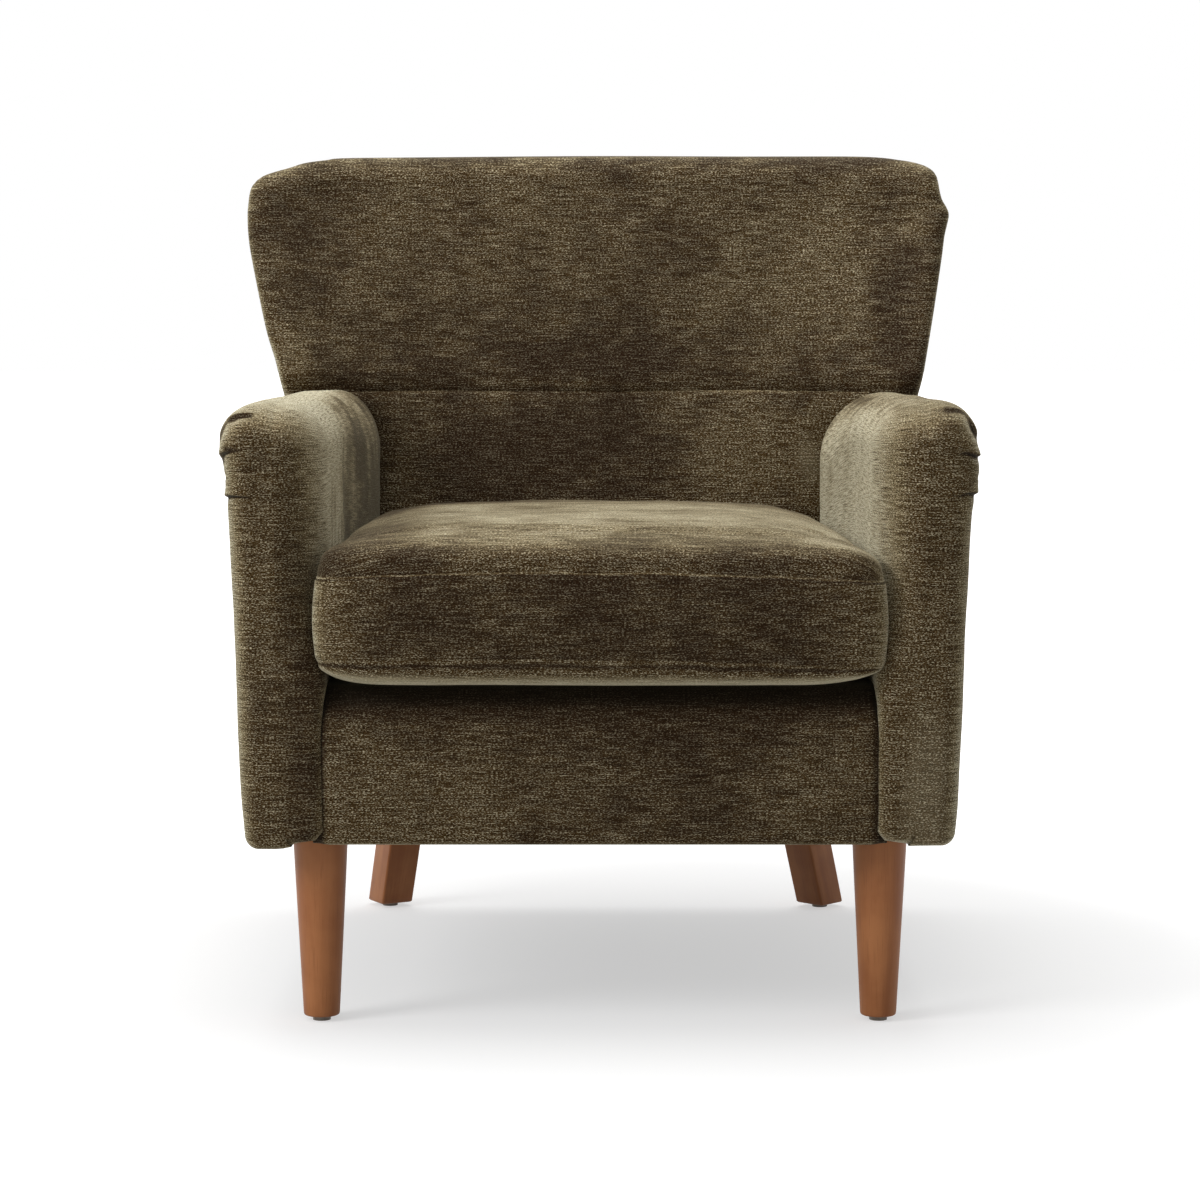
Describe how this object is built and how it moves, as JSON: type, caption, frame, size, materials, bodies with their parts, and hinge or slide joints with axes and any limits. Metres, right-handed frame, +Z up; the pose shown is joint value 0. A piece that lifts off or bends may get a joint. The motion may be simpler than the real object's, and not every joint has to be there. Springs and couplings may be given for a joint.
{
  "type": "upholstered armchair",
  "caption": "Wingback armchair with a flared tight back, padded sock arms, a loose box seat cushion and tapered wooden legs.",
  "frame": {"origin": "on the floor, under the middle of the overall width and depth", "axes": "+Z up, the sitter faces -Y, +X to the viewer's right when seen from the front"},
  "size_m": [0.8, 0.7701, 0.89],
  "materials": {
    "cover_fabric": "matte",
    "foam": "matte",
    "frame_wood": "matte",
    "leg_wood": "satin",
    "steel": "satin",
    "webbing": "matte",
    "deck_cloth": "matte",
    "dust_cloth": "matte",
    "fibreboard": "matte",
    "nylon": "satin",
    "zip_tape": "matte"
  },
  "bodies": {
    "chair": {"back_webbing": "webbing", "corner_block_screws": "steel", "corner_blocks": "frame_wood", "deck_cover": "deck_cloth", "deck_pad": "foam", "dust_cover": "dust_cloth", "front_rail_cover": "cover_fabric", "front_rail_pad": "foam", "front_seat_rail": "frame_wood", "left_arm_cover": "cover_fabric", "left_arm_pad": "foam", "left_arm_rail": "frame_wood", "left_arm_stump": "frame_wood", "left_back_post": "frame_wood", "left_front_leg": "leg_wood", "left_outside_arm_cover": "cover_fabric", "left_rear_leg": "leg_wood", "left_seat_rail": "frame_wood", "left_wing_board": "frame_wood", "leg_bolts": "steel", "leg_glides": "nylon", "leg_tee_nuts": "steel", "lower_back_rail": "frame_wood", "lumbar_back_rail": "frame_wood", "lumbar_cover": "cover_fabric", "lumbar_pad": "foam", "outside_back_board": "fibreboard", "outside_back_cover": "cover_fabric", "rear_seat_rail": "frame_wood", "right_arm_cover": "cover_fabric", "right_arm_pad": "foam", "right_arm_rail": "frame_wood", "right_arm_stump": "frame_wood", "right_back_post": "frame_wood", "right_front_leg": "leg_wood", "right_outside_arm_cover": "cover_fabric", "right_rear_leg": "leg_wood", "right_seat_rail": "frame_wood", "right_wing_board": "frame_wood", "seat_springs": "steel", "spring_clips": "steel", "top_back_rail": "frame_wood", "upper_back_cover": "cover_fabric", "upper_back_pad": "foam"},
    "cushion": {"seat_cushion_core": "foam", "seat_cushion_cover": "cover_fabric", "cushion_zip": "zip_tape"},
    "zip_slider": {"zip_slider": "steel"}
  },
  "joints": [
    {"name": "cushion_lift", "type": "slide", "parent": "chair", "child": "cushion", "axis": [0, 0, 1], "range_m": [0, 0.56]},
    {"name": "zip_slide", "type": "slide", "parent": "cushion", "child": "zip_slider", "axis": [1, 0, 0], "range_m": [0, 0.39]}
  ]
}
